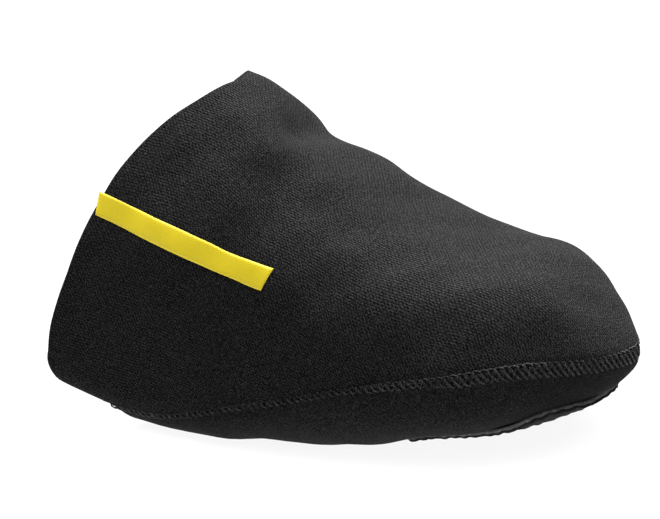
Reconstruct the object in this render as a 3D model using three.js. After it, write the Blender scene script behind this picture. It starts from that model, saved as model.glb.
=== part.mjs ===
// A toe cover that is pulled over the front half of a right cycling shoe, in the form it keeps when worn.
// Millimetres: +X runs from the heel side to the toe, +Y to the inner side of the foot, +Z up.
import * as THREE from "three";
import { mergeVertices } from "three/addons/utils/BufferGeometryUtils.js";

// Driving sizes of the covered shoe
const LENGTH = 180; // rear of the side panels to the toe tip
const BALL_WIDTH = 102; // across the ball of the foot, over the cover
const INSTEP_HEIGHT = 99; // top of the instep above the floor
const TIP_HEIGHT = 30; // the seam above the floor at the toe tip
const TOE_SPRING = 14.5; // rise of the sole at the toe

// Materials and clearances
const UPPER_WALL = 3; // neoprene with a knitted face
const WRAP_WALL = 3;
const GUARD_WALL = 1.5; // rubberised patch under the toe
const STRIPE_WALL = 0.5; // reflective film
const GAP = 0.3; // between neighbouring pieces
const WRAP_STEP = 0.5; // how far the sole wrap stands proud of the upper

// Opening for the cleat, and the film stripe
const OPENING_WIDTH = 54;
const STRIPE_LENGTH = 63;
const STRIPE_WIDTH = 7.5;

// Cross sections from the rear (at 0) to the tip (at 1), as shares of LENGTH. ridge is a share of
// INSTEP_HEIGHT, outer, inner and middle are shares of BALL_WIDTH, widest is the height of the widest
// line as a share of TIP_HEIGHT, and floor is a share of TOE_SPRING. Below zero the sole is pressed flat.
// dome and bowl are the roundness powers above and below the widest line: 2 is an ellipse.
const SECTIONS = [
  { at: 0.0, ridge: 1.15, outer: 0.43, inner: 0.4, middle: 0.0, widest: 0.77, floor: 0.5, dome: 2.1, bowl: 3.4 },
  { at: 0.14, ridge: 1.11, outer: 0.455, inner: 0.42, middle: 0.0, widest: 0.73, floor: 0.05, dome: 2.1, bowl: 3.8 },
  { at: 0.25, ridge: 1.065, outer: 0.475, inner: 0.435, middle: 0.0, widest: 0.7, floor: -0.14, dome: 2.1, bowl: 3.5 },
  { at: 0.33, ridge: 1.005, outer: 0.49, inner: 0.45, middle: 0.0, widest: 0.69, floor: -0.16, dome: 2.1, bowl: 3.3 },
  { at: 0.4, ridge: 0.89, outer: 0.497, inner: 0.46, middle: 0.0, widest: 0.69, floor: -0.17, dome: 2.15, bowl: 3.0 },
  { at: 0.47, ridge: 0.832, outer: 0.5, inner: 0.475, middle: 0.0, widest: 0.7, floor: -0.19, dome: 2.2, bowl: 2.8 },
  { at: 0.54, ridge: 0.76, outer: 0.502, inner: 0.485, middle: 0.004, widest: 0.79, floor: -0.2, dome: 2.2, bowl: 2.65 },
  { at: 0.6, ridge: 0.695, outer: 0.5, inner: 0.49, middle: 0.01, widest: 0.88, floor: -0.06, dome: 2.2, bowl: 2.65 },
  { at: 0.67, ridge: 0.648, outer: 0.494, inner: 0.485, middle: 0.022, widest: 0.97, floor: 0.25, dome: 2.16, bowl: 3.0 },
  { at: 0.75, ridge: 0.605, outer: 0.48, inner: 0.475, middle: 0.035, widest: 1.05, floor: 0.47, dome: 2.1, bowl: 3.4 },
  { at: 0.88, ridge: 0.59, outer: 0.45, inner: 0.425, middle: 0.065, widest: 1.12, floor: 0.72, dome: 1.95, bowl: 3.5 },
  { at: 1.0, ridge: 0.45, outer: 0.43, inner: 0.3, middle: 0.09, widest: 1.0, floor: 0.81, dome: 2.05, bowl: 3.3 },
];
const RIDGE_SHIFT = 0.05; // the instep ridge lies this share of BALL_WIDTH towards the inner side
const TOE_FROM = 0.76; // share of LENGTH where the toe starts to round off
const TOE_POWER = { plan: 1.7, top: 1.7, low: 2.6 }; // roundness of the toe from above and from the side

// Lines around the girth, as shares of LENGTH, at a girth share that is 0 at the ridge and 1 under the
// sole. rear is the cut edge around the instep and arch, band the rear end of the cleat opening, and front
// the line of its front end. The first row mirrors the one after the ridge.
const GIRTH_LINES = [
  { at: -0.06, rear: 0.2565, band: 0.358, front: 0.737 },
  { at: 0.0, rear: 0.268, band: 0.365, front: 0.74 },
  { at: 0.06, rear: 0.2565, band: 0.358, front: 0.737 },
  { at: 0.12, rear: 0.232, band: 0.328, front: 0.73 },
  { at: 0.18, rear: 0.196, band: 0.292, front: 0.72 },
  { at: 0.24, rear: 0.154, band: 0.258, front: 0.71 },
  { at: 0.34, rear: 0.091, band: 0.205, front: 0.69 },
  { at: 0.44, rear: 0.037, band: 0.165, front: 0.665 },
  { at: 0.53, rear: 0.012, band: 0.152, front: 0.65 },
  { at: 0.58, rear: 0.013, band: 0.15, front: 0.64 },
  { at: 0.62, rear: 0.017, band: 0.152, front: 0.637 },
  { at: 0.65, rear: 0.024, band: 0.16, front: 0.635 },
  { at: 0.67, rear: 0.034, band: 0.17, front: 0.635 },
  { at: 0.68, rear: 0.052, band: 0.178, front: 0.635 },
  { at: 0.69, rear: 0.095, band: 0.188, front: 0.635 },
  { at: 0.7, rear: 0.138, band: 0.2, front: 0.635 },
  { at: 0.72, rear: 0.157, band: 0.215, front: 0.636 },
  { at: 0.76, rear: 0.173, band: 0.23, front: 0.64 },
  { at: 0.82, rear: 0.186, band: 0.247, front: 0.65 },
  { at: 0.9, rear: 0.2, band: 0.268, front: 0.67 },
  { at: 1.0, rear: 0.206, band: 0.278, front: 0.68 },
];

// Lines along the cover. seam is the girth share where the upper meets the sole wrap, opening the half
// width of the cleat opening as a share of OPENING_WIDTH, and lip how high the toe guard reaches from the
// sole (0) towards the seam (1).
const LENGTH_LINES = [
  { at: 0.12, seam: 0.705, opening: 0.34, lip: 0.08 },
  { at: 0.16, seam: 0.695, opening: 0.36, lip: 0.08 },
  { at: 0.245, seam: 0.672, opening: 0.42, lip: 0.08 },
  { at: 0.327, seam: 0.612, opening: 0.47, lip: 0.08 },
  { at: 0.406, seam: 0.556, opening: 0.5, lip: 0.08 },
  { at: 0.48, seam: 0.512, opening: 0.5, lip: 0.08 },
  { at: 0.56, seam: 0.5, opening: 0.47, lip: 0.08 },
  { at: 0.64, seam: 0.5, opening: 0.38, lip: 0.08 },
  { at: 0.7, seam: 0.5, opening: 0.3, lip: 0.08 },
  { at: 0.8, seam: 0.5, opening: 0.3, lip: 0.085 },
  { at: 0.84, seam: 0.5, opening: 0.3, lip: 0.13 },
  { at: 0.87, seam: 0.5, opening: 0.3, lip: 0.215 },
  { at: 0.895, seam: 0.5, opening: 0.3, lip: 0.255 },
  { at: 0.925, seam: 0.5, opening: 0.3, lip: 0.205 },
  { at: 0.95, seam: 0.5, opening: 0.3, lip: 0.14 },
  { at: 1.0, seam: 0.5, opening: 0.3, lip: 0.12 },
];

// Toe guard: its rear line and front line as shares of LENGTH, at its lips (0) and under the sole (1)
const GUARD_ENDS = [
  { at: 0.0, rear: 0.664, front: 0.938 },
  { at: 0.12, rear: 0.664, front: 0.955 },
  { at: 0.4, rear: 0.668, front: 0.967 },
  { at: 0.7, rear: 0.685, front: 0.973 },
  { at: 1.0, rear: 0.7, front: 0.975 },
];

// The stripe's middle line as a girth share, along its own length
const STRIPE_LINE = [
  { at: 0.0, girth: 0.3173 },
  { at: 0.25, girth: 0.3243 },
  { at: 0.5, girth: 0.3297 },
  { at: 0.75, girth: 0.3272 },
  { at: 1.0, girth: 0.3235 },
];

// Grid steps: rows along the cover, columns from the ridge down each side
const ROWS = { band: 6, flank: 16, toe: 15 };
const COLUMNS = { upper: 14, wrap: 6, sole: 4 };
const GUARD_ROWS = 13;
const GUARD_COLUMNS = 14;
const STRIPE_ROWS = 14;
const STRIPE_COLUMNS = 2;

const mix = (a, b, t) => a + (b - a) * t;
const share = (value, from, to) => Math.min(1, Math.max(0, (value - from) / (to - from)));
const ease = (t) => t * t * (3 - 2 * t);

// A smooth curve through one column of a table: cubic pieces whose slope at a row is the mean of the
// slopes on its two sides
function along(table, column, at) {
  const last = table.length - 1;
  const x = Math.min(table[last].at, Math.max(table[0].at, at));
  let k = 0;
  while (k < last - 1 && x >= table[k + 1].at) k += 1;
  const rise = (n) => (table[n + 1][column] - table[n][column]) / (table[n + 1].at - table[n].at);
  const slope = (n) => (rise(Math.max(0, n - 1)) + rise(Math.min(last - 1, n))) / 2;
  const h = table[k + 1].at - table[k].at;
  const t = (x - table[k].at) / h;
  const a = (1 + 2 * t) * (1 - t) ** 2 * table[k][column] + t * (1 - t) ** 2 * h * slope(k);
  const b = t * t * (3 - 2 * t) * table[k + 1][column] + t * t * (t - 1) * h * slope(k + 1);
  return a + b;
}

// A quarter of a rounded end: 1 where it starts and 0 at the tip
const roundEnd = (t, power) => Math.max(0, 1 - t ** power) ** (1 / power);

// The bare skin at a share of the length and a girth share from -1 (under the sole) over -0.5 (outer
// side), 0 (ridge) and 0.5 (inner side) to 1
function skin(length, girth) {
  const s = Math.min(1, length);
  const v = girth > 1 ? girth - 2 : girth < -1 ? girth + 2 : girth;
  const row = (column) => along(SECTIONS, column, s);
  const toe = share(s, TOE_FROM, 1);
  const plan = roundEnd(toe, TOE_POWER.plan);
  const above = Math.abs(v) <= 0.5;
  const power = above ? row("dome") : row("bowl");
  const rise = Math.abs(Math.cos(Math.PI * v));
  const side = Math.abs(Math.sin(Math.PI * v));
  const reach = (rise ** power + side ** power) ** (-1 / power);
  const half = (v < 0 ? -row("outer") : row("inner")) * BALL_WIDTH * plan;
  const shift = above ? RIDGE_SHIFT * BALL_WIDTH * plan * (reach * rise) ** 2 : 0;
  const widest = row("widest") * TIP_HEIGHT;
  const top = (row("ridge") * INSTEP_HEIGHT - widest) * roundEnd(toe, TOE_POWER.top);
  const low = (row("floor") * TOE_SPRING - widest) * roundEnd(toe, TOE_POWER.low);
  const y = row("middle") * BALL_WIDTH + half * reach * side + shift;
  return new THREE.Vector3(s * LENGTH, y, widest + (above ? top : low) * reach * rise);
}

// The outward direction of the skin, from small steps along it and around it
const STEP = 1e-3;
const TIP_FROM = 0.9995;
function outward(s, v) {
  if (s > TIP_FROM) return new THREE.Vector3(1, 0, 0);
  const forward = skin(Math.min(TIP_FROM, s + STEP), v).sub(skin(s - STEP, v));
  const around = skin(s, v + STEP).sub(skin(s, v - STEP));
  return forward.cross(around).normalize();
}

// A point of a sheet that lies off the skin, no lower than its own floor
function sheetPoint(s, v, off, floor = 0) {
  const point = skin(s, v).addScaledVector(outward(s, v), off);
  point.z = Math.max(floor, point.z);
  return point;
}

// Millimetres of skin for one unit of girth share
const girthRate = (s, v) => skin(s, v + STEP).distanceTo(skin(s, v - STEP)) / (2 * STEP);

// The girth share where the bowl has sunk to a share of its depth, from 0 (widest line) to 1 (underside)
function girthAtDepth(s, depth) {
  const power = along(SECTIONS, "bowl", s);
  return 1 - Math.atan2(Math.max(0, 1 - depth ** power) ** (1 / power), depth) / Math.PI;
}

// The girth share under the sole at a distance from its middle line
function girthAtWidth(s, width) {
  const power = along(SECTIONS, "bowl", s);
  const half = along(SECTIONS, "outer", s) * BALL_WIDTH;
  return 1 - Math.atan2(width / half, Math.max(0, 1 - (width / half) ** power) ** (1 / power)) / Math.PI;
}

// A closed solid between two sheets on one grid. Cells that are not kept become openings, and a wall
// closes each free edge of the kept cells. In a ring the last column meets the first. The diagonal of a
// wall starts at its lower row or column, so that walls that face each other are folded alike.
function sheetSolid({ rows, columns, ring = false, keep, outer, inner }) {
  const across = ring ? columns : columns + 1;
  const positions = [];
  for (const place of [outer, inner]) {
    for (let i = 0; i <= rows; i += 1) {
      for (let j = 0; j < across; j += 1) positions.push(...place(i, j));
    }
  }
  const faces = [];
  const corner = (sheet, i, j) => (sheet * (rows + 1) + i) * across + (j % across);
  const quad = (a, b, c, d) => faces.push(a, b, c, a, c, d);
  const kept = (i, j) => {
    if (i < 0 || i >= rows) return false;
    if (!ring && (j < 0 || j >= columns)) return false;
    return keep(i, (j + columns) % columns);
  };
  const wall = (i, j, m, n) => {
    const [a, b, c, d] = [corner(0, i, j), corner(0, m, n), corner(1, m, n), corner(1, i, j)];
    if (m < i || n < j) quad(b, c, d, a);
    else quad(a, b, c, d);
  };
  for (let i = 0; i < rows; i += 1) {
    for (let j = 0; j < columns; j += 1) {
      if (!kept(i, j)) continue;
      quad(corner(0, i, j), corner(0, i + 1, j), corner(0, i + 1, j + 1), corner(0, i, j + 1));
      quad(corner(1, i, j), corner(1, i, j + 1), corner(1, i + 1, j + 1), corner(1, i + 1, j));
      if (!kept(i - 1, j)) wall(i, j, i, j + 1);
      if (!kept(i + 1, j)) wall(i + 1, j + 1, i + 1, j);
      if (!kept(i, j - 1)) wall(i + 1, j, i, j);
      if (!kept(i, j + 1)) wall(i, j + 1, i + 1, j + 1);
    }
  }
  const loose = new THREE.BufferGeometry();
  loose.setAttribute("position", new THREE.Float32BufferAttribute(positions, 3));
  loose.setIndex(faces);
  const merged = mergeVertices(loose, 1e-4);
  const index = Array.from(merged.index.array);
  const triangles = [];
  for (let k = 0; k < index.length; k += 3) {
    const [a, b, c] = index.slice(k, k + 3);
    if (a !== b && b !== c && c !== a) triangles.push(a, b, c);
  }
  merged.setIndex(triangles);
  merged.computeVertexNormals();
  return merged;
}

// The body grid, shared by the upper and the sole wrap so that their edges run side by side. Its columns
// go from under the sole up the outer side, over the ridge and down the inner side.
const HALF_COLUMNS = COLUMNS.upper + 1 + COLUMNS.wrap + COLUMNS.sole;
const BODY_COLUMNS = 2 * HALF_COLUMNS;
const BODY_ROWS = ROWS.band + ROWS.flank + ROWS.toe;
const FRONT_ROW = ROWS.band + ROWS.flank;
const TIP_BLEND = { from: 0.9, to: 0.985 }; // where the seam gap turns from a column into a lift

const tipBlend = (s) => ease(share(s, TIP_BLEND.from, TIP_BLEND.to));

// Even steps drawn closer together towards their end
const closer = (t) => mix(t, Math.sin((t * Math.PI) / 2), 0.6);

// Girth share of the column that lies k steps from the ridge. Columns lie closer towards the seam and
// towards the opening. Close to the tip the girth shrinks to nothing, so its rate is held above a least one.
const LEAST_RATE = 20;
function columnGirth(k, s) {
  const seam = along(LENGTH_LINES, "seam", s);
  const below = seam + (GAP * (1 - tipBlend(s))) / Math.max(LEAST_RATE, girthRate(s, seam));
  const opening = girthAtWidth(s, along(LENGTH_LINES, "opening", s) * OPENING_WIDTH);
  if (k <= COLUMNS.upper) return seam * closer(k / COLUMNS.upper);
  const wrapStep = k - COLUMNS.upper - 1;
  if (wrapStep <= COLUMNS.wrap) return mix(below, opening, closer(wrapStep / COLUMNS.wrap));
  return mix(opening, 1, (wrapStep - COLUMNS.wrap) / COLUMNS.sole);
}

// Length share of a row where it crosses a girth share
function rowLength(i, v) {
  const line = (column) => along(GIRTH_LINES, column, v);
  if (i <= ROWS.band) return mix(line("rear"), line("band"), i / ROWS.band);
  if (i <= FRONT_ROW) return mix(line("band"), line("front"), (i - ROWS.band) / ROWS.flank);
  return mix(line("front"), 1, Math.sin(((i - FRONT_ROW) / ROWS.toe) * (Math.PI / 2)));
}

// Where a row and a column cross: each depends on the other, so the two are settled in turn
const SETTLING_TURNS = 12;
function crossing(i, j) {
  const k = Math.abs(j - HALF_COLUMNS);
  let s = i / BODY_ROWS;
  let v = 0;
  for (let turn = 0; turn < SETTLING_TURNS; turn += 1) {
    v = columnGirth(k, s);
    s = rowLength(i, v);
  }
  return { s, v: j < HALF_COLUMNS ? -v : v };
}

// Which part of a half girth a cell belongs to
function zone(j) {
  const k = j < HALF_COLUMNS ? HALF_COLUMNS - 1 - j : j - HALF_COLUMNS;
  if (k < COLUMNS.upper) return "upper";
  if (k === COLUMNS.upper) return "gap";
  return k <= COLUMNS.upper + COLUMNS.wrap ? "wrap" : "sole";
}

const grid = [];
for (let i = 0; i <= BODY_ROWS; i += 1) {
  grid.push(Array.from({ length: BODY_COLUMNS }, (_, j) => crossing(i, j)));
}

// A sheet of the body grid, lift being the side of the seam that it is on: at the tip, where the columns
// meet, the gap turns into a lift. Above the widest line the inside of the wall stays above that line.
function bodySheet(off, lift) {
  return (i, j) => {
    const { s, v } = grid[i][j];
    const inside = Math.abs(v) <= 0.5 ? along(SECTIONS, "widest", s) * TIP_HEIGHT : -off;
    const point = sheetPoint(s, v, off, off < 0 ? inside : 0);
    point.z += lift * tipBlend(s);
    return point;
  };
}

// The upper: sides, instep and toe
function upperGeometry() {
  return sheetSolid({
    rows: BODY_ROWS,
    columns: BODY_COLUMNS,
    ring: true,
    keep: (i, j) => zone(j) === "upper",
    outer: bodySheet(0, GAP / 2),
    inner: bodySheet(-UPPER_WALL, GAP / 2),
  });
}

// The sole wrap: a band under the arch and two legs beside the cleat opening, which join under the toe
function wrapGeometry() {
  return sheetSolid({
    rows: BODY_ROWS,
    columns: BODY_COLUMNS,
    ring: true,
    keep: (i, j) => zone(j) === "wrap" || (zone(j) === "sole" && (i < ROWS.band || i >= FRONT_ROW)),
    outer: bodySheet(WRAP_STEP, -GAP / 2),
    inner: bodySheet(-WRAP_WALL, -GAP / 2),
  });
}

// The toe guard lies on the sole wrap, from the opening's front end to just below the tip
function guardGeometry() {
  const place = (off) => (i, j) => {
    const across = 1 - (2 * j) / GUARD_COLUMNS;
    const inward = 1 - Math.abs(across);
    const from = along(GUARD_ENDS, "rear", inward);
    const to = along(GUARD_ENDS, "front", inward);
    const s = mix(from, to, Math.sin(((i / GUARD_ROWS) * Math.PI) / 2));
    const edge = girthAtDepth(s, 1 - along(LENGTH_LINES, "lip", s));
    const v = mix(edge, 1, inward);
    const point = sheetPoint(s, across < 0 ? -v : v, off);
    point.z -= (GAP / 2) * tipBlend(s);
    return point;
  };
  return sheetSolid({
    rows: GUARD_ROWS,
    columns: GUARD_COLUMNS,
    keep: () => true,
    outer: place(WRAP_STEP + GAP + GUARD_WALL),
    inner: place(WRAP_STEP + GAP),
  });
}

// The stripe of film on the outer side, square to the rear edge
function stripeGeometry() {
  const place = (off) => (i, j) => {
    const girth = -along(STRIPE_LINE, "girth", i / STRIPE_ROWS);
    const s = along(GIRTH_LINES, "rear", -girth) + ((i / STRIPE_ROWS) * STRIPE_LENGTH) / LENGTH;
    const half = (j / STRIPE_COLUMNS - 0.5) * STRIPE_WIDTH;
    return sheetPoint(s, girth + half / girthRate(s, girth), off);
  };
  return sheetSolid({
    rows: STRIPE_ROWS,
    columns: STRIPE_COLUMNS,
    keep: () => true,
    outer: place(GAP + STRIPE_WALL),
    inner: place(GAP),
  });
}

const FINISHES = {
  knit: { color: 0x1d1d1e, roughness: 0.9, metalness: 0 },
  coated: { color: 0x19191a, roughness: 0.75, metalness: 0 },
  rough: { color: 0x262627, roughness: 0.95, metalness: 0 },
  film: { color: 0xdccb2c, roughness: 0.45, metalness: 0 },
};

const cover = new THREE.Group();
function addPiece(name, geometry, finish) {
  const piece = new THREE.Mesh(geometry, new THREE.MeshStandardMaterial(finish));
  piece.name = name;
  cover.add(piece);
}
addPiece("upper", upperGeometry(), FINISHES.knit);
addPiece("sole_wrap", wrapGeometry(), FINISHES.coated);
addPiece("toe_guard", guardGeometry(), FINISHES.rough);
addPiece("side_stripe", stripeGeometry(), FINISHES.film);

// The origin is the middle of the footprint, on the floor
const box = new THREE.Box3().setFromObject(cover);
cover.position.set(-(box.min.x + box.max.x) / 2, -(box.min.y + box.max.y) / 2, -box.min.z);

export default cover;
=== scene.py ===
"""A right toe cover for a cycling shoe, in the form it keeps when worn, standing on a pale floor.

Surfaces are worked out in millimetres in the cover's own frame: x runs from the rear of its side panels
to the toe tip, y to the inner side of the foot and z up. A place on it is a share of the length and a
girth share, which is 0 at the ridge, 0.5 at the widest line and 1 under the sole, and negative on the
outer side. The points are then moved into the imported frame, in metres.
"""

import math

import bmesh
import bpy
import numpy as np
from bpy.props import FloatProperty, FloatVectorProperty, PointerProperty
from mathutils import Matrix, Vector


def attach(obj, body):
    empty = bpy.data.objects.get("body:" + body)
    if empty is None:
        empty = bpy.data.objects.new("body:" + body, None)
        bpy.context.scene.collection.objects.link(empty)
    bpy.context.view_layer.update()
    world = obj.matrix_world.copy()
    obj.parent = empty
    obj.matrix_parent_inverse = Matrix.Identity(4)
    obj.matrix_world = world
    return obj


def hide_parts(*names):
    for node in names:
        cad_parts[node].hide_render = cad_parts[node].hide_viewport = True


bl_info = {
    "name": "Toe Cover Builder",
    "version": (1, 0, 0),
    "blender": (4, 5, 0),
    "location": "3D View > Sidebar > Toe Cover",
    "description": "Builds the panels, seam, patch and stripe of a cycling toe cover on its packed frame",
    "category": "Object",
}

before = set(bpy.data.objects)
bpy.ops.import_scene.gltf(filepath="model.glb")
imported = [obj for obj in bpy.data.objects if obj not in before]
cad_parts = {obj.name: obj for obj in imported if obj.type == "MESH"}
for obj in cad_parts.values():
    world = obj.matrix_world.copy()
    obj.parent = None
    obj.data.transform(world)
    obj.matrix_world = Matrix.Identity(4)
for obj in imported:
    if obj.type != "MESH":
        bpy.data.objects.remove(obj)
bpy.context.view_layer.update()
MM = 0.001
ORIGIN = (91.26, 0.52, 0.0)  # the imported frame's origin in the cover's own frame, in millimetres


def named_rows(columns, *rows):
    """A table: each row of values under the names of its columns."""
    return [dict(zip(columns.split(), row)) for row in rows]


# Cross sections from the rear to the tip. ridge is a share of the instep height, outer, inner and middle
# of the ball width, widest of the tip height and floor of the toe spring. dome and bowl are the
# roundness powers above and below the widest line.
SECTIONS = named_rows(
    "at ridge outer inner middle widest floor dome bowl",
    (0.0, 1.15, 0.43, 0.4, 0.0, 0.77, 0.5, 2.1, 3.4),
    (0.14, 1.11, 0.455, 0.42, 0.0, 0.73, 0.05, 2.1, 4.0),
    (0.25, 1.065, 0.475, 0.435, 0.0, 0.7, -0.14, 2.1, 3.9),
    (0.33, 1.005, 0.49, 0.45, 0.0, 0.69, -0.16, 2.1, 3.6),
    (0.4, 0.89, 0.497, 0.46, 0.0, 0.69, -0.17, 2.15, 2.95),
    (0.47, 0.832, 0.5, 0.475, 0.0, 0.7, -0.19, 2.2, 2.5),
    (0.54, 0.76, 0.502, 0.485, 0.004, 0.79, -0.2, 2.2, 2.4),
    (0.6, 0.695, 0.5, 0.49, 0.01, 0.88, -0.06, 2.2, 2.55),
    (0.67, 0.648, 0.494, 0.485, 0.022, 0.97, 0.25, 2.16, 2.9),
    (0.75, 0.605, 0.48, 0.475, 0.035, 1.05, 0.47, 2.1, 3.1),
    (0.88, 0.59, 0.45, 0.425, 0.065, 1.12, 0.72, 1.95, 3.0),
    (1.0, 0.45, 0.43, 0.3, 0.09, 1.0, 0.81, 2.05, 2.6),
)
RIDGE_SHIFT = 0.05  # the instep ridge lies this share of the ball width towards the inner side
TOE_FROM = 0.76  # share of the length where the toe starts to round off
TOE_POWER = {"plan": 1.7, "top": 1.7, "low": 2.3}

# Lines around the girth, as shares of the length: the cut rear edge, and the rear and front end of the
# cleat opening
GIRTH_LINES = named_rows(
    "at rear band front",
    (-0.06, 0.2575, 0.358, 0.737),
    (0.0, 0.274, 0.365, 0.74),
    (0.06, 0.2575, 0.358, 0.737),
    (0.12, 0.2315, 0.328, 0.73),
    (0.18, 0.193, 0.292, 0.72),
    (0.24, 0.15, 0.258, 0.71),
    (0.34, 0.088, 0.205, 0.69),
    (0.44, 0.036, 0.165, 0.665),
    (0.47, 0.0225, 0.16, 0.66),
    (0.49, 0.0165, 0.157, 0.657),
    (0.5, 0.0148, 0.156, 0.655),
    (0.51, 0.0144, 0.155, 0.653),
    (0.54, 0.0128, 0.152, 0.649),
    (0.58, 0.013, 0.15, 0.64),
    (0.62, 0.017, 0.152, 0.637),
    (0.65, 0.0225, 0.16, 0.635),
    (0.67, 0.0275, 0.17, 0.635),
    (0.69, 0.039, 0.188, 0.635),
    (0.7, 0.06, 0.2, 0.635),
    (0.705, 0.1, 0.203, 0.635),
    (0.71, 0.13, 0.206, 0.635),
    (0.715, 0.143, 0.21, 0.635),
    (0.72, 0.15, 0.215, 0.636),
    (0.76, 0.173, 0.23, 0.64),
    (0.82, 0.186, 0.247, 0.65),
    (0.9, 0.2, 0.268, 0.67),
    (1.0, 0.206, 0.278, 0.68),
)

# Lines along the cover: the girth share of the seam, the half width of the cleat opening as a share of
# its full width, and how high the toe patch reaches from the sole (0) towards the seam (1)
LENGTH_LINES = named_rows(
    "at seam opening lip",
    (0.12, 0.709, 0.34, 0.08),
    (0.16, 0.7, 0.36, 0.08),
    (0.245, 0.672, 0.42, 0.08),
    (0.327, 0.612, 0.47, 0.08),
    (0.406, 0.556, 0.5, 0.08),
    (0.48, 0.512, 0.5, 0.08),
    (0.56, 0.5, 0.47, 0.08),
    (0.64, 0.5, 0.38, 0.08),
    (0.7, 0.5, 0.3, 0.08),
    (0.8, 0.5, 0.3, 0.085),
    (0.84, 0.5, 0.3, 0.13),
    (0.87, 0.5, 0.3, 0.215),
    (0.895, 0.5, 0.3, 0.255),
    (0.925, 0.5, 0.3, 0.205),
    (0.95, 0.5, 0.3, 0.14),
    (1.0, 0.5, 0.3, 0.12),
)

# The patch's rear and front line, at its lips (0) and under the sole (1)
PATCH_ENDS = named_rows(
    "at rear front",
    (0.0, 0.655, 0.928),
    (0.12, 0.655, 0.938),
    (0.4, 0.659, 0.948),
    (0.7, 0.685, 0.954),
    (1.0, 0.7, 0.956),
)

# The stripe's middle line as a girth share, along its own length
STRIPE_LINE = named_rows(
    "at girth",
    (0.0, 0.3173),
    (0.125, 0.3211),
    (0.25, 0.3253),
    (0.375, 0.3291),
    (0.5, 0.3316),
    (0.625, 0.3337),
    (0.75, 0.3327),
    (0.875, 0.3252),
    (1.0, 0.3235),
)

# Soft creases of the stretched fabric. Each lies between two places, given as length share and girth
# share, and has its half width and its height in millimetres: a ridge is above zero, a trough below.
CREASES = named_rows(
    "start end width height",
    ((0.27, -0.32), (0.326, -0.25), 10.0, 0.5),
    ((0.326, -0.25), (0.385, -0.19), 10.0, 0.5),
    ((0.373, -0.128), (0.43, -0.02), 8.0, 0.7),
    ((0.425, -0.165), (0.515, -0.18), 9.0, -1.7),
    ((0.325, -0.07), (0.372, -0.035), 8.0, -0.6),
    ((0.53, 0.08), (0.61, 0.08), 12.0, 2.1),
    ((0.4, 0.05), (0.43, 0.1), 6.0, -0.9),
    ((0.27, 0.03), (0.29, 0.05), 7.0, 1.2),
    ((0.26, -0.33), (0.6, -0.34), 15.0, 2.4),
    ((0.385, -0.02), (0.392, 0.2), 6.0, -1.6),
    ((0.66, -0.46), (0.86, -0.455), 12.0, -2.0),
    ((0.69, -0.27), (0.87, -0.23), 12.0, 2.2),
    ((0.56, -0.2), (0.7, -0.16), 12.0, 0.6),
    ((0.52, -0.32), (0.72, -0.4), 12.0, -0.7),
    ((0.12, -0.5), (0.3, -0.43), 12.0, 0.6),
    ((0.3, 0.26), (0.4, 0.12), 9.0, 1.2),
    ((0.42, 0.2), (0.52, 0.17), 9.0, -1.6),
    ((0.2, 0.32), (0.34, 0.34), 11.0, -1.1),
    ((0.58, 0.24), (0.72, 0.3), 12.0, -0.7),
    ((0.44, 0.36), (0.62, 0.4), 12.0, 0.7),
)

# Slow unevenness of the fabric: waves along x, y and z, in millimetres
WAVES = named_rows(
    "along phase height",
    ((31.0, 47.0, 38.0), 0.4, 0.22),
    ((-19.0, 23.0, 41.0), 2.1, 0.14),
    ((13.0, -29.0, 17.0), 4.4, 0.07),
)

# Stitches that show on each side of the seam, in millimetres: how far they reach above and below it,
# how far their lower end lies ahead, and the size of the loops along their upper ends
STITCH_LINES = named_rows(
    "at above below ahead loop",
    (0.0, 0.6, 1.4, 0.9, 0.15),
    (0.35, 0.6, 1.5, 0.9, 0.15),
    (0.7, 0.7, 1.7, 1.3, 0.2),
    (0.84, 1.0, 2.7, 2.4, 0.6),
    (1.0, 1.1, 2.9, 2.2, 0.5),
)

# Grid steps of the fabric meshes
ROWS = {"band": 20, "flank": 78, "toe": 88}
COLUMNS = {"upper": 92, "wrap": 24, "sole": 12}
PATCH_GRID = (120, 96)
STRIPE_GRID = (90, 10)

# Edges in millimetres: the quarter rounds at the seam and at raw cuts, the groove that the thread pulls
# into the panels, the gap between them, and the distances over which the sole panel's step and the
# creases rise beside the seam
SEAM_ROUND = 0.45
CUT_ROUND = 0.45
SEAM_SINK = {"depth": 0.45, "width": 2.2}
SEAM_GAP = 0.1
STEP_RISE = 2.5
CREASE_RISE = 6.0

# The patch: its half width in millimetres, its length in half widths, its edge round, its lip's height,
# distance from the edge and width in millimetres, and its uneven outline's height
PATCH_HALF, PATCH_LONG, PATCH_ROUND = 30, 1.6, 0.5
PATCH_LIP = {"height": 0.4, "at": 0.9, "width": 0.6}
PATCH_RAGGED, PATCH_LUMP = 0.1, 0.08
# Its thickness as shares of its wall, at the length shares between which it grows, over a thin bed, and
# its thinner rim between two distances from its edge
PATCH_THICK = {"rear": 0.5, "toe": 1.15, "from": 0.68, "to": 0.86, "bed": 0.2}
PATCH_RIM = {"share": 0.9, "from": 0.6, "to": 5}
LOWEST = 0.02
PATCH_LUMPS = named_rows(
    "along phase",
    ((1.1, 0.7, 0.3), 0.3),
    ((-0.6, 1.5, 0.9), 1.9),
    ((2.3, -1.2, 1.4), 4.0),
)

# The stripe's faces above the skin, its edge round, and how far its ends slant for each millimetre across
FILM = {"top": 0.28, "under": 0.03, "round": 0.12, "slant": 0.35}

# The seam's threads: start ahead of the cut rear edge as a length share, points for each stitch, and the
# core that fills the groove, with its place across, its height and its radius in thread radii
SEAM_START = 0.022
STITCH_POINTS = 14
CORE = {"across": 0.3, "high": -0.62, "radius": 3.2}
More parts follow.
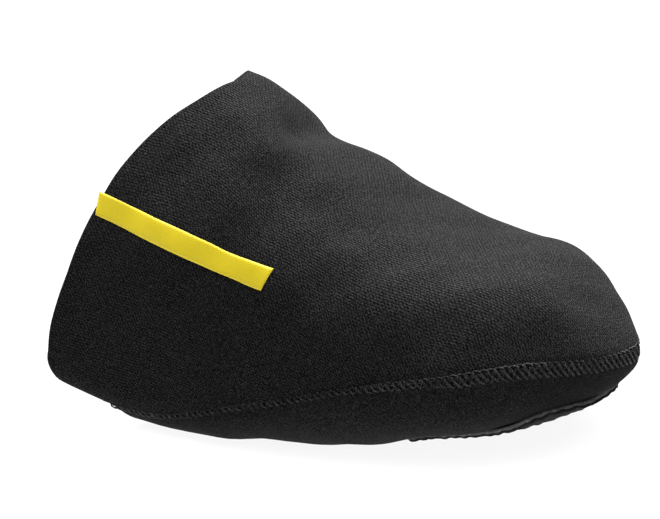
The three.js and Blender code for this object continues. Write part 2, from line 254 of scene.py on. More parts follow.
# The strands of a stitch: how far apart in stitches, how much their upper and lower reach and their place
# vary, how far they bow forward, how high they arch and how that varies, and how deep they lie
STRAND = {
    "apart": 0.2, "up": 0.22, "down": 0.2, "sway": 0.22,
    "bow": 0.35, "arch": 0.44, "lift": 0.1, "deep": 0.17,
}
# The looper thread: its lead over the stitch in radians, how far a loop lies above the stitches, how its
# size and place vary, its least width and growth with the loop, its arch with its lag, and its depth
LOOPER = {
    "lead": 0.8, "over": 0.2, "size": 0.25, "sway": 0.25, "wide": 0.25,
    "grow": 1.1, "arch": 0.42, "lag": 0.9, "deep": 0.06,
}
LOOPER_RADIUS = {"least": 0.8, "grow": 0.9}
# The crossing thread: its turns for each stitch, its reach above and below as shares of the stitch's, how
# they and its place vary, its slant against the stitches, its arch, phase and depth, and its radius
CROSSER = {
    "turns": 1.37, "up": 0.7, "down": 0.8, "vary": 0.2, "sway": 0.3,
    "slant": 0.6, "arch": 0.34, "phase": 0.4, "deep": 0.16,
}
CROSSER_RADIUS = 0.75
SEED = 7

# Length shares between which the panels settle into the tip, the last share with a section of its own,
# the step for slopes, the turns that settle the grid, and the least girth rate in millimetres
TIP_BLEND = (0.9, 0.985)
TIP_FROM = 0.9995
STEP = 1e-3
SETTLING_TURNS = 12
LEAST_RATE = 20


def mix(a, b, t):
    """a where t is 0 and b where it is 1."""
    return a + (b - a) * t


def share(value, start, end):
    """How far a value is from start to end, held to 0 and 1."""
    return np.clip((value - start) / (end - start), 0.0, 1.0)


def ease(t):
    """Smooth step: 3 t^2 - 2 t^3."""
    return t * t * (3 - 2 * t)


def along(table, column, at):
    """Smooth curve through a table's column: cubic pieces whose slope at a row is the mean of its sides'."""
    x = np.array([row["at"] for row in table])
    y = np.array([row[column] for row in table])
    at = np.clip(at, x[0], x[-1])
    k = np.clip(np.searchsorted(x, at, side="right") - 1, 0, len(x) - 2)
    rise = np.diff(y) / np.diff(x)
    slope = (np.append(rise[0], rise) + np.append(rise, rise[-1])) / 2
    h = x[k + 1] - x[k]
    t = (at - x[k]) / h
    first = (1 + 2 * t) * (1 - t) ** 2 * y[k] + t * (1 - t) ** 2 * h * slope[k]
    return first + t * t * (3 - 2 * t) * y[k + 1] + t * t * (t - 1) * h * slope[k + 1]


def round_end(t, power):
    """Quarter of a rounded end: (1 - t^power)^(1/power), 1 where it starts and 0 at the tip."""
    return np.maximum(0.0, 1 - t**power) ** (1 / power)


def unit(vectors):
    """Vectors over their length."""
    return vectors / np.maximum(1e-12, np.linalg.norm(vectors, axis=-1, keepdims=True))


class Form:
    """The cover's shape in millimetres, for one set of sizes."""

    def __init__(self, sizes):
        self.length = sizes.length / MM
        self.ball = sizes.ball_width / MM
        self.instep = sizes.instep_height / MM
        self.tip = sizes.tip_height / MM
        self.spring = sizes.toe_spring / MM
        self.wall = sizes.wall / MM
        self.proud = sizes.wrap_step / MM
        self.opening = sizes.opening_width / MM

    def skin(self, s, v):
        """Bare skin: a section is two superellipse halves, (|cos|^p + |sin|^p)^(-1/p) times its half width
        and its height over or depth under the widest line, and all shrink to the tip."""
        s, v = np.broadcast_arrays(np.minimum(1.0, s), v)
        v = np.where(v > 1, v - 2, np.where(v < -1, v + 2, v))
        toe = share(s, TOE_FROM, 1)
        plan = round_end(toe, TOE_POWER["plan"])
        above = np.abs(v) <= 0.5
        power = np.where(above, along(SECTIONS, "dome", s), along(SECTIONS, "bowl", s))
        rise, side = np.abs(np.cos(np.pi * v)), np.abs(np.sin(np.pi * v))
        reach = (rise**power + side**power) ** (-1 / power)
        outer, inner = along(SECTIONS, "outer", s), along(SECTIONS, "inner", s)
        half = np.where(v < 0, -outer, inner) * self.ball * plan
        shift = np.where(above, RIDGE_SHIFT * self.ball * plan * (reach * rise) ** 2, 0.0)
        widest = along(SECTIONS, "widest", s) * self.tip
        top = (along(SECTIONS, "ridge", s) * self.instep - widest) * round_end(toe, TOE_POWER["top"])
        low = (along(SECTIONS, "floor", s) * self.spring - widest) * round_end(toe, TOE_POWER["low"])
        y = along(SECTIONS, "middle", s) * self.ball + half * reach * side + shift
        return np.stack([s * self.length, y, widest + np.where(above, top, low) * reach * rise], -1)

    def outward(self, s, v):
        """Unit direction out of the skin: small step along the cover crossed with one around it."""
        s, v = np.broadcast_arrays(s, v)
        inside = np.minimum(s, TIP_FROM)
        forward = self.skin(np.minimum(TIP_FROM, inside + STEP), v) - self.skin(inside - STEP, v)
        around = self.skin(inside, v + STEP) - self.skin(inside, v - STEP)
        normal = unit(np.cross(forward, around))
        return np.where((s > TIP_FROM)[..., None], np.array([1.0, 0.0, 0.0]), normal)

    def rate(self, s, v):
        """Millimetres of skin for one unit of girth share."""
        return np.linalg.norm(self.skin(s, v + STEP) - self.skin(s, v - STEP), axis=-1) / (2 * STEP)

    def girth_at_depth(self, s, depth):
        """Girth share under the widest line where a section has a share of its full depth."""
        power = along(SECTIONS, "bowl", s)
        return 1 - np.arctan2(np.maximum(0, 1 - depth**power) ** (1 / power), depth) / np.pi

    def girth_at_width(self, s, width):
        """Girth share under the widest line where a section has a half width in millimetres."""
        power = along(SECTIONS, "bowl", s)
        part = width / (along(SECTIONS, "outer", s) * self.ball)
        return 1 - np.arctan2(part, np.maximum(0, 1 - part**power) ** (1 / power)) / np.pi

    def relief(self, points):
        """Height of the creases and waves: each crease is height times exp(-(distance / width)^2)."""
        total = np.zeros(points.shape[:-1])
        for crease in CREASES:
            a, b = self.skin(*crease["start"]), self.skin(*crease["end"])
            t = np.clip((points - a) @ (b - a) / ((b - a) @ (b - a)), 0, 1)
            distance = np.linalg.norm(points - a - t[..., None] * (b - a), axis=-1)
            total += crease["height"] * np.exp(-((distance / crease["width"]) ** 2))
        for wave in WAVES:
            phase = points @ (2 * np.pi / np.array(wave["along"])) + wave["phase"]
            total += wave["height"] * np.sin(phase)
        return total

    def seam_distance(self, s, v):
        """Millimetres from a place to the seam, along the girth."""
        seam = along(LENGTH_LINES, "seam", s)
        return np.abs(np.abs(v) - seam) * self.rate(np.minimum(s, TIP_FROM), seam)

    def cut_distance(self, s, v):
        """Millimetres from a place to the nearest raw cut: the rear edge or the cleat opening."""
        g = np.abs(v)
        rear = (s - along(GIRTH_LINES, "rear", g)) * self.length
        slope = along(GIRTH_LINES, "rear", g + STEP) - along(GIRTH_LINES, "rear", g - STEP)
        slope *= self.length / (2 * STEP) / np.maximum(LEAST_RATE, self.rate(np.minimum(s, TIP_FROM), v))
        rear = rear / np.hypot(1, slope)
        edge = self.girth_at_width(s, along(LENGTH_LINES, "opening", s) * self.opening)
        beside = (edge - g) * self.rate(s, edge)
        behind = (along(GIRTH_LINES, "band", g) - s) * self.length
        ahead = (s - along(GIRTH_LINES, "front", g)) * self.length
        ends = np.maximum(behind, ahead)
        corner = np.hypot(np.maximum(0, ends), np.maximum(0, beside))
        inside = np.where((ends > 0) & (beside > 0), corner, np.maximum(ends, beside))
        return np.maximum(0, np.minimum(rear, inside))

    def sheets(self, s, v, proud, lift):
        """Outer and inner face of a panel: the skin with its relief, less a quarter round at each edge,
        and the same less the wall. At the tip the gap at the seam turns from a girth step into a lift."""
        base, normal = self.skin(s, v), self.outward(s, v)
        fade = 1 - share(s, 0.97, 1.0)
        seam, cut = self.seam_distance(s, v), self.cut_distance(s, v)
        sink = SEAM_SINK["depth"] * np.exp(-((seam / SEAM_SINK["width"]) ** 2))
        height = self.relief(base) * fade * (1 - np.exp(-seam / CREASE_RISE)) - sink
        rounding = quarter_round(seam, SEAM_ROUND) + quarter_round(cut, CUT_ROUND)
        proud = proud * (1 - np.exp(-seam / STEP_RISE))
        outer = base + normal * (proud + height - rounding)[..., None]
        outer[..., 2] = soft_floor(outer[..., 2], 0.0)
        thin = np.minimum(rounding, self.wall * 0.3)
        inner = base + normal * (height - self.wall + 0.5 * thin)[..., None]
        widest = along(SECTIONS, "widest", s) * self.tip
        least = np.where(np.abs(v) <= 0.5, widest, self.wall)
        inner[..., 2] = np.maximum(inner[..., 2], least)
        raise_by = lift * ease(share(s, *TIP_BLEND))
        outer[..., 2] += raise_by
        inner[..., 2] += raise_by
        return outer, inner


def quarter_round(distance, radius):
    """How far a quarter round has dropped at a distance from its edge: r - sqrt(r^2 - (r - d)^2)."""
    left = np.maximum(0, radius - distance)
    return radius - np.sqrt(np.maximum(0, radius**2 - left**2))


def soft_floor(z, level, softness=0.35):
    """Height held above a level with a soft turn: mean of z and the root of z^2 + softness^2."""
    return level + ((z - level) + np.sqrt((z - level) ** 2 + softness**2)) / 2


class BodyGrid:
    """Grid shared by the upper and the sole panel. Rows go from the cut rear edge to the tip, columns from
    under the sole up the outer side, over the ridge and down the inner side."""

    def __init__(self, form):
        self.form = form
        self.half = COLUMNS["upper"] + 1 + COLUMNS["wrap"] + COLUMNS["sole"]
        self.front = ROWS["band"] + ROWS["flank"]
        self.rows = self.front + ROWS["toe"]
        i = np.arange(self.rows + 1)[:, None] * np.ones(2 * self.half + 1)
        j = np.arange(2 * self.half + 1)[None, :] * np.ones((self.rows + 1, 1))
        k = np.abs(j - self.half)
        s, v = i / self.rows, 0 * j
        for _ in range(SETTLING_TURNS):
            v = self.column_girth(k, s)
            s = self.row_length(i, v)
        self.s, self.v = s, np.where(j < self.half, -v, v)
        steps = np.arange(2 * self.half)
        self.zone = np.where(steps < self.half, self.half - 1 - steps, steps - self.half)

    def column_girth(self, k, s):
        """Girth share of the column k steps from the ridge, with closer columns at seam and opening."""
        form = self.form
        seam = along(LENGTH_LINES, "seam", s)
        still = 1 - ease(share(s, *TIP_BLEND))
        below = seam + SEAM_GAP * still / np.maximum(LEAST_RATE, form.rate(s, seam))
        edge = form.girth_at_width(s, along(LENGTH_LINES, "opening", s) * form.opening)
        up = np.clip(k / COLUMNS["upper"], 0, 1)
        wrap = np.clip((k - COLUMNS["upper"] - 1) / COLUMNS["wrap"], 0, 1)
        sole = np.clip((k - COLUMNS["upper"] - 1 - COLUMNS["wrap"]) / COLUMNS["sole"], 0, 1)
        upper = seam * (0.25 * up + 0.75 * np.sin(up * np.pi / 2))
        lower = mix(below, edge, wrap - 0.75 * np.sin(2 * np.pi * wrap) / (2 * np.pi))
        lower = np.where(sole > 0, mix(edge, 1, sole), lower)
        return np.where(k <= COLUMNS["upper"], upper, lower)

    def row_length(self, i, v):
        """Length share of a row, with closer rows at the cut rear edge and at the tip."""
        rear, band, front = (along(GIRTH_LINES, column, v) for column in ("rear", "band", "front"))
        a = np.clip(i / ROWS["band"], 0, 1)
        b = np.clip((i - ROWS["band"]) / ROWS["flank"], 0, 1)
        c = np.clip((i - self.front) / ROWS["toe"], 0, 1)
        first = mix(rear, band, 0.25 * a + 0.75 * (1 - np.cos(a * np.pi / 2)))
        last = mix(front, 1, np.sin(c * np.pi / 2))
        return np.where(i <= ROWS["band"], first, np.where(i <= self.front, mix(band, front, b), last))

    def fabric(self):
        """Where the flat cloth lies on each grid point, in millimetres: the distance along the ridge and
        the distance from the ridge down the girth, read from a table of the skin."""
        s = np.linspace(0, 1, 241)
        v = np.linspace(0, 1, 181)
        sides = []
        for sign in (-1, 1):
            points = self.form.skin(s[:, None], sign * v[None, :])
            steps = np.linalg.norm(np.diff(points, axis=1), axis=-1)
            sides.append(np.concatenate([np.zeros((len(s), 1)), np.cumsum(steps, axis=1)], axis=1))
        ridge = np.linalg.norm(np.diff(self.form.skin(s, 0 * s), axis=0), axis=-1)
        run = np.interp(self.s, s, np.append(0, np.cumsum(ridge)))
        down = np.where(self.v < 0, -table_at(sides[0], self.s, -self.v), table_at(sides[1], self.s, self.v))
        return np.stack([run, down], -1)


def table_at(table, a, b):
    """Value of a table of equal steps at shares a and b, mixed from its four neighbours."""
    rows, columns = np.array(table.shape) - 1
    x, y = np.clip(a, 0, 1) * rows, np.clip(b, 0, 1) * columns
    i = np.minimum(x.astype(int), rows - 1)
    j = np.minimum(y.astype(int), columns - 1)
    low = mix(table[i, j], table[i, j + 1], y - j)
    return mix(low, mix(table[i + 1, j], table[i + 1, j + 1], y - j), x - i)


def sheet_solid(name, outer, inner, keep, ring, cloth, levels=4):
    """Closed mesh between two sheets of points on one grid. Kept cells give a face on each sheet, and
    each free edge of the kept cells gets a wall of a few levels. Faces get material 0 outside, 1 inside
    and 2 on the wall."""
    rows, columns = keep.shape
    across = columns if ring else columns + 1
    outer, inner = outer[:, :across], inner[:, :across]
    count = outer.shape[0] * across
    number = np.arange(count).reshape(-1, across)
    number = np.concatenate([number, number[:, :1]], axis=1) if ring else number
    a, b = number[:-1, :-1], number[1:, :-1]
    c, d = number[1:, 1:], number[:-1, 1:]
    corners = np.stack([a, b, c, d], -1)[keep]
    place = np.arange(cloth.shape[0] * cloth.shape[1]).reshape(cloth.shape[:2])
    spots = np.stack([place[:-1, :-1], place[1:, :-1], place[1:, 1:], place[:-1, 1:]], -1)[keep]
    padded = np.pad(keep, ((1, 1), (0, 0)))
    beside = [np.roll(keep, 1, 1), np.roll(keep, -1, 1)]
    if not ring:
        beside[0][:, 0] = False
        beside[1][:, -1] = False
    sides = [
        (keep & ~padded[:-2], a, d, place[:-1, :-1], place[:-1, 1:]),
        (keep & ~padded[2:], c, b, place[1:, 1:], place[1:, :-1]),
        (keep & ~beside[0], b, a, place[1:, :-1], place[:-1, :-1]),
        (keep & ~beside[1], d, c, place[:-1, 1:], place[1:, 1:]),
    ]
    first, second, spot_a, spot_b = (
        np.concatenate([side[k][side[0]] for side in sides]) for k in range(1, 5)
    )
    rim, order = np.unique(np.concatenate([first, second]), return_inverse=True)
    out, inn = outer.reshape(-1, 3), inner.reshape(-1, 3)
    points = [out, inn]
    rings = [rim]
    for level in range(1, levels):
        points.append(mix(out[rim], inn[rim], level / levels))
        rings.append(2 * count + (level - 1) * len(rim) + np.arange(len(rim)))
    rings.append(rim + count)
    p, q = order[: len(first)], order[len(first):]
    walls = [np.stack([r[p], r[q], n[q], n[p]], -1) for r, n in zip(rings[:-1], rings[1:])]
    wall_spots = [np.stack([spot_a, spot_b, spot_b, spot_a], -1)] * levels
    faces = np.concatenate([corners, corners[:, ::-1] + count, *walls])
    spots = np.concatenate([spots, spots[:, ::-1], *wall_spots])
    kinds = np.repeat([0, 1, 2], [len(corners), len(corners), levels * len(first)])
    return mesh_object(name, np.concatenate(points), faces, cloth.reshape(-1, 2)[spots], kinds)


def mesh_object(name, points, faces, cloth, kinds=None):
    """Object from points in millimetres, faces of four corners and the cloth place of each corner.
    Corners that lie on one another become one, and faces that are left with under three are dropped."""
    keys = np.round(points / 1e-4).astype(np.int64)
    _, kept, order = np.unique(keys, axis=0, return_index=True, return_inverse=True)
    faces = order.reshape(-1)[faces]
    double = faces == np.roll(faces, -1, axis=1)
    sizes = 4 - double.sum(axis=1)
    wanted = sizes >= 3
    used = ~double[wanted]
    corners = faces[wanted][used]
    mesh = bpy.data.meshes.new(name)
    mesh.vertices.add(len(kept))
    mesh.vertices.foreach_set("co", ((points[kept] - ORIGIN) * MM).astype(np.float32).ravel())
    mesh.loops.add(len(corners))
    mesh.loops.foreach_set("vertex_index", corners.astype(np.int32))
    totals = sizes[wanted]
    mesh.polygons.add(len(totals))
    mesh.polygons.foreach_set("loop_start", np.append(0, np.cumsum(totals)[:-1]).astype(np.int32))
    if kinds is not None:
        mesh.polygons.foreach_set("material_index", np.asarray(kinds)[wanted].astype(np.int32))
    mesh.polygons.foreach_set("use_smooth", np.ones(len(totals), bool))
    layer = mesh.uv_layers.new(name="cloth")
    layer.uv.foreach_set("vector", cloth[wanted][used].astype(np.float32).ravel())
    mesh.update(calc_edges=True)
    mesh.validate()
    loose = np.setdiff1d(np.arange(len(kept)), corners)
    if len(loose):
        drop_loose(mesh)
    piece = bpy.data.objects.new(name, mesh)
    bpy.context.scene.collection.objects.link(piece)
    return piece


def drop_loose(mesh):
    """Deletes the corners that no face uses."""
    work = bmesh.new()
    work.from_mesh(mesh)
    bmesh.ops.delete(work, geom=[v for v in work.verts if not v.link_faces], context="VERTS")
    work.to_mesh(mesh)
    work.free()


def tube(path, normal, radius, sides=6):
    """Points and faces of a round thread: a ring of equal angles about each path point, square to it,
    with both ends drawn to a point."""
    tangent = unit(np.gradient(path, axis=0))
    side = unit(np.cross(tangent, normal))
    up = np.cross(side, tangent)
    angle = np.arange(sides) * 2 * np.pi / sides
    turn = np.cos(angle)[None, :, None] * side[:, None] + np.sin(angle)[None, :, None] * up[:, None]
    radii = np.full(len(path), radius)
    radii[[0, -1]] = 0.0
    points = path[:, None] + turn * radii[:, None, None]
    i = np.arange(len(path) - 1)[:, None]
    j = np.arange(sides)[None, :]
    n = (j + 1) % sides
    faces = np.stack([i * sides + j, (i + 1) * sides + j, (i + 1) * sides + n, i * sides + n], -1)
    run = np.append(0, np.cumsum(np.linalg.norm(np.diff(path, axis=0), axis=-1)))
    u = np.stack([run[i + 0 * j], run[i + 1 + 0 * j], run[i + 1 + 0 * j], run[i + 0 * j]], -1)
    w = np.stack([j + 0 * i, j + 0 * i, j + 1 + 0 * i, j + 1 + 0 * i], -1) / sides
    return points.reshape(-1, 3), faces.reshape(-1, 4), np.stack([u, w], -1).reshape(-1, 4, 2)


def joined(parts):
    """One set of points, faces and cloth places from several."""
    starts = np.append(0, np.cumsum([len(part[0]) for part in parts])[:-1])
    points = np.concatenate([part[0] for part in parts])
    faces = np.concatenate([part[1] + start for part, start in zip(parts, starts)])
    return points, faces, np.concatenate([part[2] for part in parts])


def arithmetic(operation, swapped=False):
    """A method that adds a Math node for itself and another value, or for the other value and itself."""

    def method(self, other):
        values = (other, self) if swapped else (self, other)
        return self.math(operation, *values)

    return method


class Wire:
    """A socket's value in a material. Arithmetic on it adds Math nodes."""

    def __init__(self, tree, socket):
        self.tree, self.socket = tree, socket

    def math(self, operation, *values):
        return self.tree.add("ShaderNodeMath", {"operation": operation}, dict(enumerate(values)))

    __add__, __radd__ = arithmetic("ADD"), arithmetic("ADD", True)
    __sub__, __rsub__ = arithmetic("SUBTRACT"), arithmetic("SUBTRACT", True)
    __mul__, __rmul__ = arithmetic("MULTIPLY"), arithmetic("MULTIPLY", True)
    __truediv__, __pow__ = arithmetic("DIVIDE"), arithmetic("POWER")

    def sine(self):
        return self.math("SINE", self)

    def part(self):
        return self.math("FRACT", self)

    def clamped(self):
        return self.math("MINIMUM", self.math("MAXIMUM", self, 0.0), 1.0)


class Finish:
    """One material and its node tree."""

    def __init__(self, name):
        self.material = bpy.data.materials.new(name)
        self.material.use_nodes = True
        self.tree = self.material.node_tree
        self.tree.nodes.clear()

    def add(self, kind, settings=None, sockets=None, output=0):
        """Adds a node: its settings first, then the value or the link of each named socket."""
        node = self.tree.nodes.new(kind)
        for name, value in (settings or {}).items():
            setattr(node, name, value)
        for name, value in (sockets or {}).items():
            if isinstance(value, Wire):
                self.tree.links.new(value.socket, node.inputs[name])
            else:
                node.inputs[name].default_value = value
        return Wire(self, node.outputs[output]) if node.outputs else node

    def cloth(self):
        """The two cloth coordinates in millimetres."""
        place = self.add("ShaderNodeUVMap", {"uv_map": "cloth"})
        parts = self.add("ShaderNodeSeparateXYZ", None, {0: place})
        return parts, Wire(self, parts.socket.node.outputs[1])

    def spot(self):
        return self.add("ShaderNodeTexCoord", output=3)

    def noise(self, where, scale, detail=2.0, rough=0.5):
        sockets = {"Vector": where, "Scale": scale, "Detail": detail, "Roughness": rough}
        return self.add("ShaderNodeTexNoise", None, sockets)

    def blend(self, factor, first, second):
        """Mix of two colours."""
        node = self.tree.nodes.new("ShaderNodeMix")
        node.data_type = "RGBA"
        for socket, value in ((node.inputs[0], factor), (node.inputs[6], first), (node.inputs[7], second)):
            if isinstance(value, Wire):
                self.tree.links.new(value.socket, socket)
            else:
                socket.default_value = value
        return Wire(self, node.outputs[2])

    def bump(self, height, distance, strength=1.0):
        sockets = {"Height": height, "Distance": distance, "Strength": strength}
        return self.add("ShaderNodeBump", None, sockets)

    def surface(self, base, roughness, specular, **normal):
        sockets = {"Base Color": base, "Roughness": roughness, "Specular IOR Level": specular, **normal}
        shader = self.add("ShaderNodeBsdfPrincipled", None, sockets)
        self.add("ShaderNodeOutputMaterial", None, {"Surface": shader})
        return self.material


def shade(colour, factor):
    """A colour times a factor, as four channels."""
    return tuple(channel * factor for channel in tuple(colour)[:3]) + (1.0,)


def knit_finish(name, colour, row=0.95, stitch=1.3, relief=0.0012, contrast=1.0):
    """Jersey face with rows and stitches in millimetres. Rows are 1 - (2 bend)^2 across, stitches a sine
    along them, shifted by half from row to row. The colour follows (rows times stitches)^1.5, a painted
    highlight on the loop crowns and painted shade between the rows, short uneven dashes along the rows
    and a slow tone, and fine fibres that paint pale glints."""
    finish = Finish(name)
    run, down = finish.cloth()
    spot = finish.spot()
    drift = finish.noise(spot, 160.0, 1.0) - 0.5
    fibre_and_glint = finish.noise(spot, 2300.0, 1.0, 0.7) - 0.5
    yarn = finish.add("ShaderNodeCombineXYZ", None, {0: run * (1.0 / row), 1: down * (2.2 / row)})
    dash = finish.noise(yarn, 1.0, 2.0, 0.6) - 0.5
    across = down / row + drift * 0.3
    bend = across.part() - 0.5
    count = across - across.part()
    rows = 1.0 - (bend * 2.0) ** 2.0
    loops = ((run / stitch + bend * 0.7 + count * 0.5 + drift * 1.2) * (2 * math.pi)).sine() * 0.5 + 0.5
    height = rows * (loops * 0.6 + 0.3) + dash * 0.6 + fibre_and_glint * 1.8
    patch = finish.noise(spot, 45.0, 3.0, 0.55) - 0.5
    loop_light_and_shade = (rows * loops) ** 1.5
    # Painted light: lighter loop crowns as painted highlight, darker gaps between rows as painted shade, and
    # the fine noise as pale painted glints; the dashes and slow patches are the yarn's own uneven tone.
    tone = (loop_light_and_shade * 0.9 + dash * 1.1 + fibre_and_glint * 3.8) * contrast + patch * 0.3 + 0.09
    base = finish.blend(tone.clamped(), shade(colour, 0.2), shade(colour, 3.4))
    normal = finish.bump(height, relief, 1.0)
    return finish.surface(base, 0.75 + rows * 0.1, 0.07, Normal=normal)


def foam_finish(name, colour, scale, relief):
    """Cut foam or brushed lining: fine pores or fibres over a slow tone."""
    finish = Finish(name)
    spot = finish.spot()
    pores = finish.noise(spot, scale, 3.0, 0.65)
    slow = finish.noise(spot, scale / 12, 2.0)
    base = finish.blend((pores * 0.7 + slow * 0.4 - 0.1).clamped(), shade(colour, 0.55), shade(colour, 1.6))
    normal = finish.bump(pores, relief, 0.8)
    return finish.surface(base, 0.85 + pores * 0.12, 0.1, Normal=normal)


def rubber_finish(name, colour, raised_colour):
    """Rough rubberised patch: grains and small lumps, greyer where they stand up."""
    finish = Finish(name)
    spot = finish.spot()
    cells = finish.add("ShaderNodeTexVoronoi", {"feature": "F1"}, {"Vector": spot, "Scale": 900.0})
    lumps = finish.noise(spot, 420.0, 4.0, 0.65)
    fine = finish.noise(spot, 2200.0, 2.0, 0.6)
    height = lumps * 0.9 + (1.0 - cells) * 0.4 + fine * 0.25
    tone = ((height - 0.75) * 2.4).clamped()
    base = finish.blend(tone, shade(colour, 0.7), shade(raised_colour, 1.0))
    normal = finish.bump(height, 0.0006, 0.9)
    return finish.surface(base, 0.65 + lumps * 0.3, 0.15, Normal=normal)


def film_finish(name, colour):
    """Bonded film: the knit shows faintly through, with fine specks and a slightly uneven tone."""
    finish = Finish(name)
    run, down = finish.cloth()
    spot = finish.spot()
    weave = (down * (2 * math.pi / 1.05)).sine() * (run * (2 * math.pi / 1.25)).sine()
    slow = finish.noise(spot, 120.0, 3.0, 0.6)
    fine = finish.noise(spot, 1800.0, 2.0, 0.6)
    tone = (slow * 0.6 + fine * 0.4).clamped()
    base = finish.blend(tone, shade(colour, 0.9), shade(colour, 1.07))
    height = weave * 0.25 + fine * 0.6 + slow * 0.4
    normal = finish.bump(height, 0.00008, 0.7)
    return finish.surface(base, 0.42 + slow * 0.15, 0.4, Normal=normal)


def thread_finish(name, colour):
    """Fluffy sewing thread: slanted plies along it, with painted highlights: paler ply crests and short pale
    flecks of painted glint.
    """
    finish = Finish(name)
    run, turn = finish.cloth()
    twist = ((run * 1.9 + turn * 2.0) * (2 * math.pi)).sine() * 0.5 + 0.5
    spot = finish.spot()
    fleck_and_glint = finish.noise(spot, 1500.0, 2.0, 0.6) - 0.5
    # Painted highlight: the colour rises on the ply crests and in the flecks, as glints on the thread.
    base = finish.blend((twist * 0.25 + fleck_and_glint * 4.5 + 0.15).clamped(), shade(colour, 0.3), shade(colour, 4.0))
    normal = finish.bump(twist + fleck_and_glint, 0.00008, 0.8)
    return finish.surface(base, 0.5 + twist * 0.15, 0.3, Normal=normal)


def plain_finish(name, colour, roughness):
    """Studio floor: even paint with a very faint grain."""
    finish = Finish(name)
    grain = finish.noise(finish.spot(), 40.0, 2.0)
    base = finish.blend(grain, shade(colour, 0.995), shade(colour, 1.0))
    return finish.surface(base, roughness, 0.0)


def settle(piece, finishes, slot, *nodes):
    """Gives a piece its finishes, its body and the CAD nodes that it stands for. The slot is not used."""
    for finish in finishes:
        piece.data.materials.append(finish)
    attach(piece, "root")
    if nodes:
        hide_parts(*nodes)
    return piece


def size(name, description, default):
    """A length in metres."""
    return FloatProperty(name=name, description=description, default=default, unit="LENGTH")


def colour(name, description, default):
    """A colour in linear light."""
    return FloatVectorProperty(name=name, description=description, subtype="COLOR", default=default)


class CoverSizes(bpy.types.PropertyGroup):
    """Sizes of the covered shoe and of the cover's parts."""

    length: size("Length", "Rear of the side panels to the toe tip", 0.180)
    ball_width: size("Ball width", "Across the ball, over the cover", 0.102)
    instep_height: size("Instep height", "Top of the instep above the floor", 0.099)
    tip_height: size("Tip height", "Seam above the floor at the toe tip", 0.030)
    toe_spring: size("Toe spring", "Rise of the sole at the toe", 0.0145)
    wall: size("Wall", "Thickness of the neoprene", 0.003)
    wrap_step: size("Wrap step", "How far the sole panel stands proud of the upper", 0.0005)
    opening_width: size("Opening width", "Width of the cleat opening", 0.054)
    patch_wall: size("Patch thickness", "Thickness of the toe patch", 0.0015)
    stripe_length: size("Stripe length", "Length of the film stripe", 0.0614)
    stripe_width: size("Stripe width", "Width of the film stripe", 0.0075)
    thread: size("Thread", "Diameter of the seam thread", 0.00036)
    stitch: size("Stitch", "Distance from one stitch to the next", 0.0023)


class CoverColours(bpy.types.PropertyGroup):
    """Colours of the cover's parts."""

    knit: colour("Knit", "Knitted face of the upper", (0.0178, 0.0178, 0.0182))
    wrap: colour("Wrap", "Face of the sole panel", (0.0142, 0.0142, 0.0146))
    foam: colour("Foam", "Cut edge of the neoprene", (0.008, 0.008, 0.0085))
    lining: colour("Lining", "Brushed inner face", (0.014, 0.014, 0.015))
    patch: colour("Patch", "Rough toe patch", (0.010, 0.010, 0.0103))
    # Its multiples give the patch lip's painted highlight.
    patch_grain_and_lip_highlight: colour("Patch grain", "Raised grains and lip of the patch", (0.022, 0.022, 0.0225))
    stripe: colour("Stripe", "Film stripe", (0.90, 0.71, 0.017))
    thread: colour("Thread", "Seam thread", (0.020, 0.020, 0.0205))
    floor: colour("Floor", "Studio floor", (0.80, 0.80, 0.80))


class PieceOperator:
    """Builds a piece from the scene's sizes and colours."""

    def execute(self, context):
        scene = context.scene
        self.build(Form(scene.cover_sizes), scene.cover_sizes, scene.cover_colours)
        return {"FINISHED"}


class COVER_OT_upper(PieceOperator, bpy.types.Operator):
    """Builds the knitted upper over sides, instep and toe."""

    bl_idname = "cover.upper"
    bl_label = "Upper"

    def build(self, form, sizes, colours):
        grid = BodyGrid(form)
        outer, inner = form.sheets(grid.s, grid.v, 0.0, SEAM_GAP / 2)
        keep = np.broadcast_to(grid.zone < COLUMNS["upper"], (grid.rows, 2 * grid.half))
        piece = sheet_solid("upper_shell", outer, inner, keep, True, grid.fabric())
        finishes = [
            knit_finish("knit_face", colours.knit),
            foam_finish("brushed_lining", colours.lining, 900.0, 0.0003),
            foam_finish("cut_neoprene", colours.foam, 1600.0, 0.0003),
        ]
        settle(piece, finishes, "knit", "upper")


class COVER_OT_sole_panel(PieceOperator, bpy.types.Operator):
    """Builds the sole panel: the band under the arch, the two legs and the bowl under the toe."""

    bl_idname = "cover.sole_panel"
    bl_label = "Sole panel"

    def build(self, form, sizes, colours):
        grid = BodyGrid(form)
        outer, inner = form.sheets(grid.s, grid.v, form.proud, -SEAM_GAP / 2)
        rows = np.arange(grid.rows)[:, None]
        wrap = (grid.zone > COLUMNS["upper"]) & (grid.zone <= COLUMNS["upper"] + COLUMNS["wrap"])
        sole = grid.zone > COLUMNS["upper"] + COLUMNS["wrap"]
        keep = wrap[None, :] | (sole[None, :] & ((rows < ROWS["band"]) | (rows >= grid.front)))
        piece = sheet_solid("sole_panel", outer, inner, keep, True, grid.fabric())
        finishes = [
            knit_finish("wrap_face", colours.wrap, 0.7, 0.9, 0.0004, 0.8),
            foam_finish("wrap_lining", colours.lining, 900.0, 0.0003),
            foam_finish("wrap_cut", colours.foam, 1600.0, 0.0003),
        ]
        settle(piece, finishes, "wrap", "sole_wrap")


